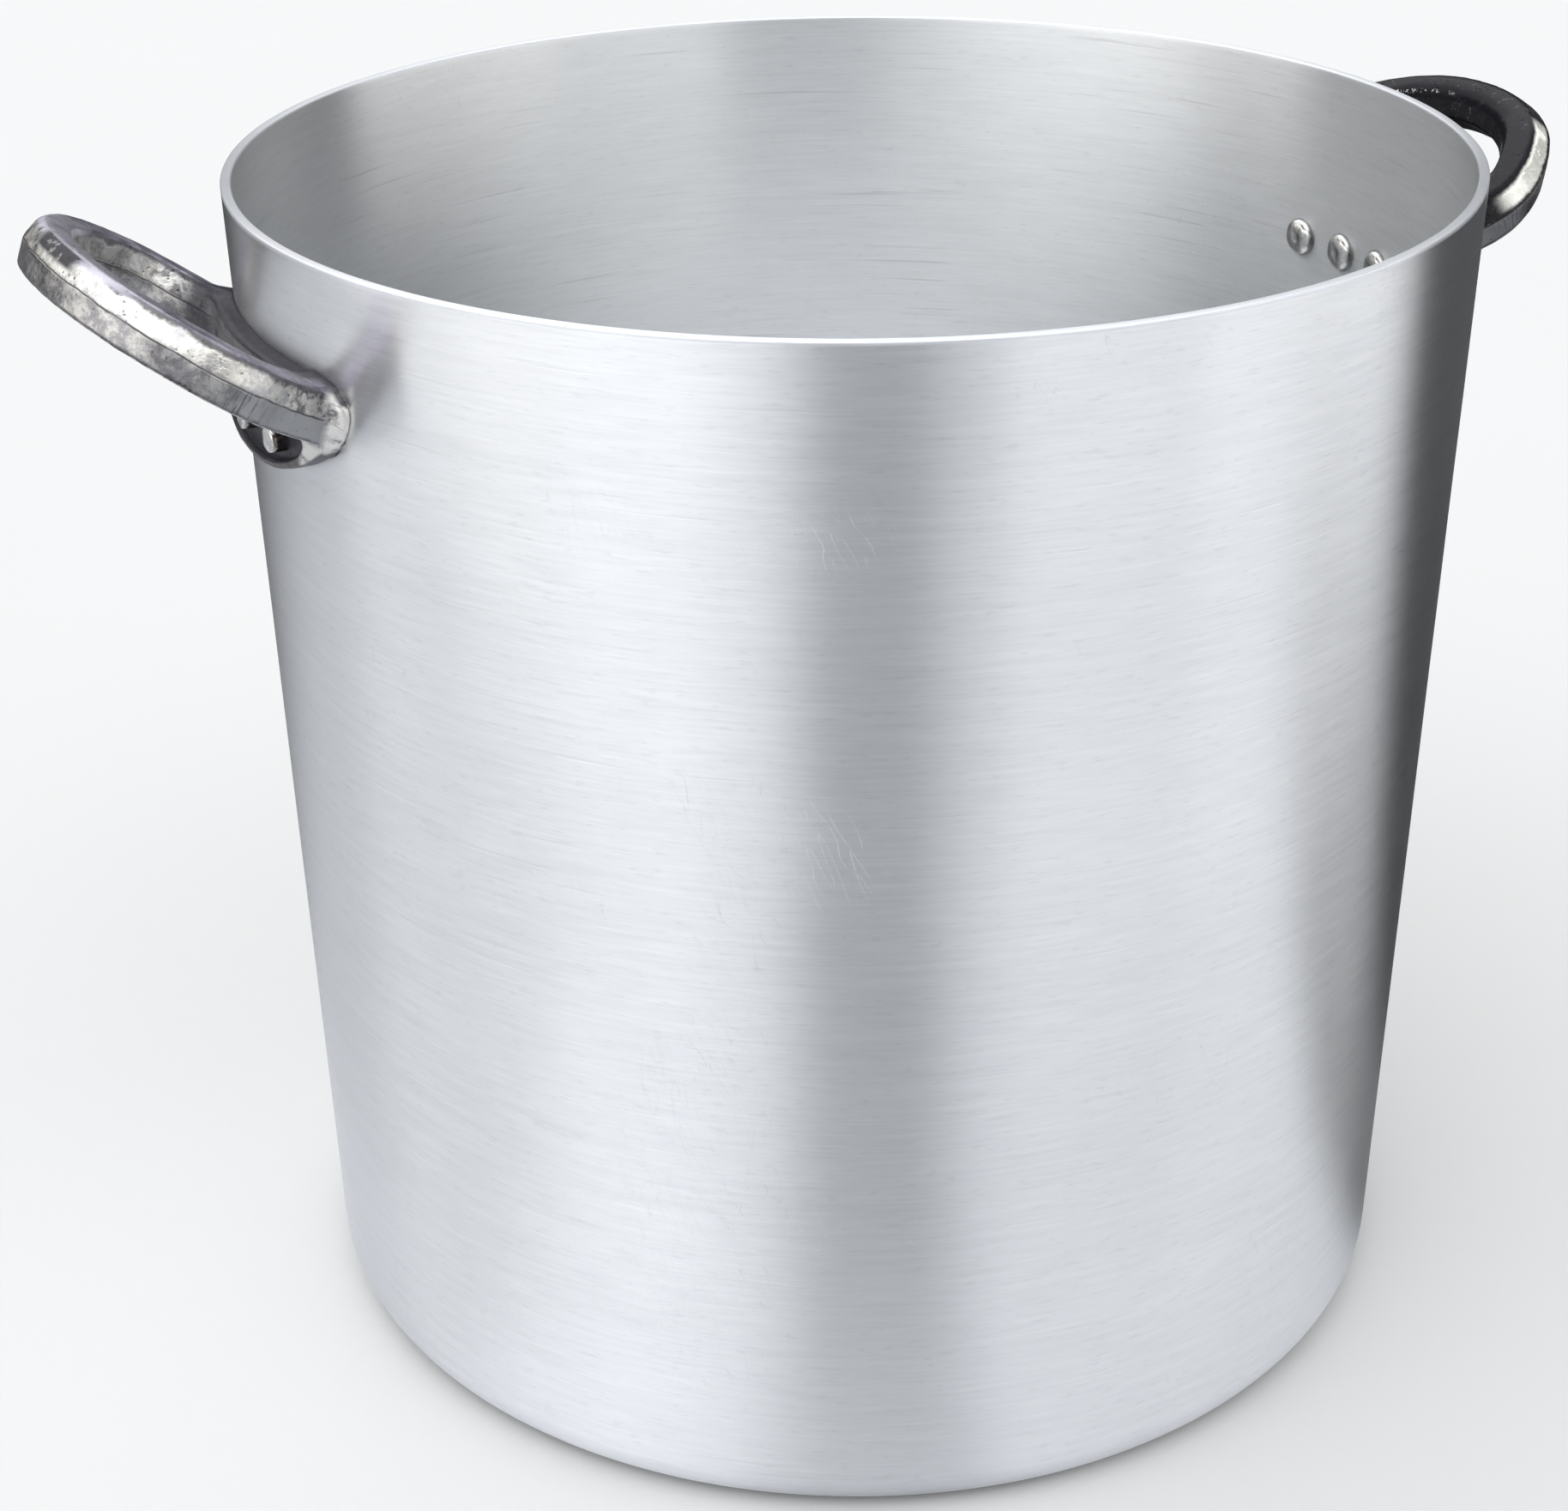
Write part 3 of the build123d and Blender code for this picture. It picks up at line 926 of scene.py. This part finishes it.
class Casting:
    """One handle as a distance field in its own frame (x out, y along, z up), millimetres."""

    def __init__(self, name):
        handle = HANDLES[name]
        self.section = handle.bar_width / 2, handle.bar_height / 2, handle.bar_flat / 2
        self.hole_z = HOLE_Z[name]
        self.line = cubic(ring_path(handle), 420)
        tangent = np.gradient(self.line, axis=0)
        self.tangent = tangent / np.linalg.norm(tangent, axis=1)[:, None]
        rise = math.radians(handle.ring_rise)
        run = (self.line[:, 0] - wall_r(HEIGHT - handle.ring_root)) / math.cos(rise)
        self.run = run * RING_REACH / handle.ring_run
        self.up = np.tile([-math.sin(rise), 0.0, math.cos(rise)], (len(self.line), 1))
        self.out = np.cross(self.tangent, self.up)
        if self.out[len(self.line) // 2][0] < 0:
            self.out = -self.out
        lengths = np.linalg.norm(np.diff(self.line, axis=0), axis=1)
        self.along = np.concatenate([[0], np.cumsum(lengths)])
        self.along -= self.along[-1] / 2
        self.scale = scale = handle.plate_scale
        level = HEIGHT - handle.plate_drop
        self.plate2d = polygon_field(saddle_outline(scale, level))
        hollow = mirrored(HALF_HOLLOW, -PLATE_BOTTOM + 2.6)
        hollow = cubic([(x * scale, level + z) for x, z in hollow], 50)
        self.hollow2d = polygon_field(hollow)

    def locate(self, points):
        """Nearest place on the centreline: rows of out, up, along, run and slip past its ends."""
        chunks = [self.locate_chunk(points[i : i + 20000]) for i in range(0, len(points), 20000)]
        return np.concatenate(chunks, axis=1)

    def locate_chunk(self, points):
        nearest = ((self.line**2).sum(1)[None, :] - 2 * points @ self.line.T).argmin(1)
        ahead = ((points - self.line[nearest]) * self.tangent[nearest]).sum(1)
        # slide to the true foot between samples
        place = nearest + ahead / (self.along[1] - self.along[0])
        place = np.clip(place, 0, len(self.line) - 1.001)
        k = place.astype(int)
        part = (place - k)[:, None]

        def between(values):
            return values[k] * (1 - part) + values[k + 1] * part

        away = points - between(self.line)
        out, up, slip = [(away * between(v)).sum(1) for v in (self.out, self.up, self.tangent)]
        samples = np.arange(len(self.along))
        along, run = [np.interp(place, samples, v) for v in (self.along, self.run)]
        return np.stack([out, up, along, run, slip])

    def bar(self, out, up, run, slip):
        """Six-sided section with crisp facets; towards the roots its lower half squares up."""
        half_w, half_h, flat = self.section
        square = 1 - ease((run - 6) / 26)
        # the outer side is ground flat near the roots, the inner side stays cast
        flat_low = flat + (half_w - 0.3 - flat) * square * (out > 0)
        lean_up, lean_low = half_w - flat, half_w - flat_low
        reach = np.abs(out) * half_h - half_w * half_h
        side_up = (reach + up * lean_up) / math.hypot(half_h, lean_up)
        side_low = (reach - up * lean_low) / np.hypot(half_h, lean_low)
        # the grip's top is worn round
        edge = 0.9 + 2.6 * ease((run - 44) / 16) * (up > 0)
        side = smax(side_up, side_low, 0.5)
        distance = smax(side, smax(up - half_h, -up - half_h, 0.2), edge)
        return smax(distance, np.abs(slip) - 1.0, 0.5)

    def saddle(self, points, off_wall):
        """Plate thinned towards its ends, with the hollow cut into its face."""
        y, z = points[:, 1], points[:, 2]
        thick = PLATE_T - 3.2 * ease((np.abs(y) / self.scale - 43.0) / 10.0)
        plate = smax(self.plate2d(y, z), off_wall - thick, 2.2)
        plate = smax(plate, -off_wall - 3.0, 0.2)
        hollow = smax(self.hollow2d(y, z), WEB_T - off_wall, 1.6)
        return smax(plate, -hollow, 1.4)

    def measure(self, points):
        """Signed distance, out, up, along, run, share of plate and distance off the wall."""
        x, y, z = points.T
        out, up, along, run, slip = self.locate(points)
        bar = self.bar(out, up, run, slip)
        off_wall = np.hypot(x, y) - wall_r(z)
        plate = self.saddle(points, off_wall)
        distance = smin(bar, plate, 4.5)
        # the seat follows the wall
        distance = smax(distance, -off_wall + 0.02, 0.35)
        for step in PLACES.values():  # rivet holes
            turn = math.radians(step * RIVET_PITCH)
            cos, sin = math.cos(turn), math.sin(turn)
            hole = np.hypot(-x * sin + y * cos, z - self.hole_z) - SHANK_R
            hole = np.where(x * cos + y * sin < wall_r(self.hole_z) + 8.5, hole, 9.0)
            distance = np.maximum(distance, -hole)
        share = np.clip(0.5 + (bar - plate) / 5.0, 0, 1)
        return distance, out, up, along, run, share, off_wall

    def __call__(self, points):
        return self.measure(points)[0]


# ------------------------------------------------------------------ handle meshes
def sample_field(cast, low, high, voxel):
    """The field on a voxel grid: coarse by blocks, exact in the blocks near the surface."""
    block = 8
    size = block * voxel
    blocks = np.ceil((high - low) / size).astype(int)
    cells = np.stack(np.meshgrid(*[np.arange(k) for k in blocks], indexing="ij"), -1)
    cells = cells.reshape(-1, 3)
    coarse = cast(low + (cells + 0.5) * size)
    field = coarse.reshape(blocks)
    for axis in range(3):
        field = np.repeat(field, block, axis)
    field = np.pad(field, [(0, 1)] * 3, mode="edge").astype(float)
    mask = np.zeros(field.shape, bool)
    for x, y, z in cells[np.abs(coarse) < size * 0.9 + 1.5] * block:
        mask[x : x + block + 1, y : y + block + 1, z : z + block + 1] = True
    points = np.argwhere(mask)
    chunks = range(0, len(points), 200000)
    exact = [cast(low + points[i : i + 200000] * voxel) for i in chunks]
    field[tuple(points.T)] = np.concatenate(exact)
    return field


def net_vertices(field, cells):
    """Mean of the surface crossings on each cell's edges, in voxels."""
    total = np.zeros((len(cells), 3))
    count = np.zeros(len(cells))
    for corner in CORNERS:
        for axis in range(3):
            if corner[axis] == 1:
                continue
            other = list(corner)
            other[axis] = 1
            near = field[tuple((cells + corner).T)]
            far = field[tuple((cells + other).T)]
            cross = (near < 0) != (far < 0)
            point = np.tile(np.array(corner, float), (len(cells), 1))
            point[:, axis] += np.where(cross, near / np.where(cross, near - far, 1), 0)
            total[cross] += point[cross]
            count[cross] += 1
    return cells + total / count[:, None]


def surface_nets(field, origin, voxel):
    """Vertices and outward quads of the zero level of a field."""
    negative = field < 0
    size = np.array(field.shape)
    total = np.zeros(size - 1, np.int8)
    for x, y, z in CORNERS:
        total += negative[x : size[0] - 1 + x, y : size[1] - 1 + y, z : size[2] - 1 + z]
    cells = np.argwhere((total > 0) & (total < 8))
    index = np.full(size - 1, -1, np.int64)
    index[tuple(cells.T)] = np.arange(len(cells))
    quads = []
    for axis in range(3):
        first, second = [(1, 2), (0, 2), (0, 1)][axis]
        near = [slice(1, size[i] - 1) for i in range(3)]
        far = list(near)
        near[axis] = slice(0, size[axis] - 1)
        far[axis] = slice(1, size[axis])
        start, stop = negative[tuple(near)], negative[tuple(far)]
        base = np.array([1, 1, 1])
        base[axis] = 0
        for sign, where in ((1, start & ~stop), (-1, ~start & stop)):
            edges = np.argwhere(where) + base
            around = []
            for i, j in ((-1, -1), (0, -1), (0, 0), (-1, 0)):
                cell = edges.copy()
                cell[:, first] += i
                cell[:, second] += j
                around.append(index[tuple(cell.T)])
            flip = sign if axis != 1 else -sign
            quads.append(np.stack(around, 1)[:, ::flip])
    return origin + net_vertices(field, cells) * voxel, np.concatenate(quads)


def settle(cast, vertices, voxel):
    """Move vertices onto the true surface; gives them and their normals."""
    reach = 0.05
    for _ in range(2):
        here = cast(vertices)
        steps = np.eye(3) * reach
        slope = np.stack([(cast(vertices + step) - here) / reach for step in steps], 1)
        square = (slope**2).sum(1)
        move = np.clip(-here / np.maximum(square, 0.25), -0.6 * voxel, 0.6 * voxel)
        vertices = vertices + move[:, None] * slope
    return vertices, slope / np.maximum(np.sqrt(square), 1e-6)[:, None]


def build_handle(name, voxel):
    side = HANDLES[name].side
    cast = Casting(name)
    low = cast.line.min(0) - 11
    high = cast.line.max(0) + 11
    low[0], low[2] = 160.0, HEIGHT - HANDLES[name].plate_drop - 67.5
    vertices, quads = surface_nets(sample_field(cast, low, high, voxel), low, voxel)
    vertices, normal = settle(cast, vertices, voxel)
    _, out, up, along, run, plate, off_wall = cast.measure(vertices)
    # cast skin: soft undulation and finer grain, away from the seat
    free = np.clip((off_wall - 0.4) / 1.2, 0, 1)
    broad = fbm(vertices / 9.0 + (3.0 if side > 0 else 11.0), octaves=3, seed=21)
    skin = 0.15 * broad + 0.06 * fbm(vertices / 2.6, octaves=2, seed=31)
    vertices = vertices + normal * (skin * free)[:, None]
    attributes = {
        "bar_a": out,
        "bar_b": up,
        "bar_s": along,
        "bar_run": run,
        "plate": plate,
        "off_wall": off_wall,
        # the right casting is marked for its painted shade, the dark reflection of the unlit side
        # of the studio
        "painted_shade_right": np.full(len(out), 1.0 if side > 0 else 0.0),
    }
    world = vertices * np.array([side, side, 1.0])
    return make_mesh(f"handle_casting_{name}", world, quads, attributes)


# ------------------------------------------------------------------ assemble
def fit(piece, material, replaced):
    piece.data.materials.append(material)
    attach(piece, "root")
    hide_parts(replaced)


pot_metal, handle_metal, rivet_metal = pot_material(), handle_material(), rivet_material()

fit(build_pot(), pot_metal, "pot_body")
for i, (side_name, place, angle) in enumerate(HOLES):
    name = f"rivet_{side_name}_{place}"
    rivet = build_rivet("solid_" + name, angle, HOLE_Z[side_name], seed=40 + i)
    fit(rivet, rivet_metal, name)
for side_name in HANDLES:
    handle = build_handle(side_name, voxel=0.6)
    fit(handle, handle_metal, f"handle_{side_name}")

# ------------------------------------------------------------------ stage
bpy.ops.mesh.primitive_circle_add(
    vertices=96, radius=9.0, fill_type="NGON", location=(0, 0, -0.0002)
)
paper = bpy.context.object
paper.name = "studio_floor"
paper.data.materials.append(floor_material())

# ------------------------------------------------------------------ light
# azimuth from, to, elevation from, to, strength, softness of the sides, softness above and below
# (azimuth 0 is towards the camera, positive to its right)
PANELS = [
    (-100.0, -22.0, -40.0, 20.0, 2.1, 8.0, 5.0),
    (-72.0, -43.0, -40.0, 20.0, 0.9, 10.0, 5.0),
    (-22.0, -7.0, -40.0, 20.0, 0.85, 5.0, 5.0),
    (26.0, 114.0, -40.0, 20.0, 1.6, 4.0, 5.0),
    (62.0, 114.0, -40.0, 20.0, 0.9, 4.0, 5.0),
    (-47.0, -5.0, 20.0, 36.0, 0.8, 6.0, 4.0),
    (-5.0, 26.0, 20.0, 36.0, 0.55, 6.0, 4.0),
    (26.0, 62.0, 20.0, 36.0, 0.8, 6.0, 4.0),
    (-180.0, -97.0, 19.0, 36.0, 1.5, 6.0, 4.0),
    (140.0, 180.0, 22.0, 36.0, 1.1, 6.0, 4.0),
]


def build_world():
    """A soft studio painted on the sky as a few panels; the camera sees plain white."""
    warm, cool, white = (1.0, 0.99, 0.97), (0.96, 0.98, 1.0), (1.0, 1.0, 1.0)
    world = bpy.data.worlds.new("studio")
    bpy.context.scene.world = world
    world.use_nodes = True
    world.node_tree.nodes.clear()
    graph = Graph(world.node_tree)
    out = graph.node("ShaderNodeOutputWorld")
    background = graph.node("ShaderNodeBackground")
    graph.plug(out.inputs["Surface"], background.outputs[0])
    x, y, z = graph.source("ShaderNodeTexCoord", "Generated").xyz()
    around = azimuth(x, y)
    elevation = z.min(0.9999).max(-0.9999).math("ARCSINE") * (180 / math.pi)

    light = 0.0
    for left, right, bottom, top, strength, soft_sides, soft_ends in PANELS:
        panel = around.band(left, right, soft_sides) * elevation.band(bottom, top, soft_ends)
        light = light + panel * strength
    # ceiling: brightest on the left, weakest behind on the right
    ceiling = 2.65 + around.band(-75.0, -18.0, soft=20.0) * 0.9
    ceiling = ceiling - around.band(80.0, 155.0, soft=24.0) * 1.3
    ceiling = ceiling * elevation.step(33.0, 43.0)
    light = light + ceiling * elevation.step(56.0, 70.0, before=1.0, after=0.72)
    tone = graph.mix(elevation.step(20.0, 50.0), warm, cool)
    seen = graph.source("ShaderNodeLightPath", "Is Camera Ray")
    graph.feed(background, {
        "Color": graph.mix(seen, tone, white),
        "Strength": light * (1.0 - seen) + seen * 0.97,
    })


build_world()
view = bpy.context.scene.view_settings
view.view_transform = "Standard"
view.look = "None"
view.exposure = 0.0
view.gamma = 1.0

# ------------------------------------------------------------------ camera
CAMERA_PLACE = (0.0, -0.831186, 0.574437)  # metres, in the view's frame
CAMERA_PITCH, CAMERA_YAW, CAMERA_ROLL = 26.30, -1.52, -0.71  # degrees; pitch is downwards


def build_camera():
    pitch, yaw, roll = [math.radians(a) for a in (CAMERA_PITCH, CAMERA_YAW, CAMERA_ROLL)]
    ahead = Vector((
        math.sin(yaw) * math.cos(pitch),
        math.cos(yaw) * math.cos(pitch),
        -math.sin(pitch),
    ))
    level = Vector((math.cos(yaw), -math.sin(yaw), 0.0))
    upright = level.cross(ahead)
    right = level * math.cos(roll) + upright * math.sin(roll)
    up = -level * math.sin(roll) + upright * math.cos(roll)
    turn = Matrix.Rotation(-TURN, 3, "Z")
    data = bpy.data.cameras.new("camera")
    camera = bpy.data.objects.new("camera", data)
    bpy.context.scene.collection.objects.link(camera)
    axes = Matrix((turn @ right, turn @ up, -(turn @ ahead))).transposed()
    pose = axes.to_4x4()
    pose.translation = turn @ Vector(CAMERA_PLACE)
    camera.matrix_world = pose
    data.sensor_fit = "HORIZONTAL"
    data.sensor_width = 36.0
    data.lens = 65.5404814
    data.clip_start, data.clip_end = 0.05, 60.0
    bpy.context.scene.camera = camera


build_camera()
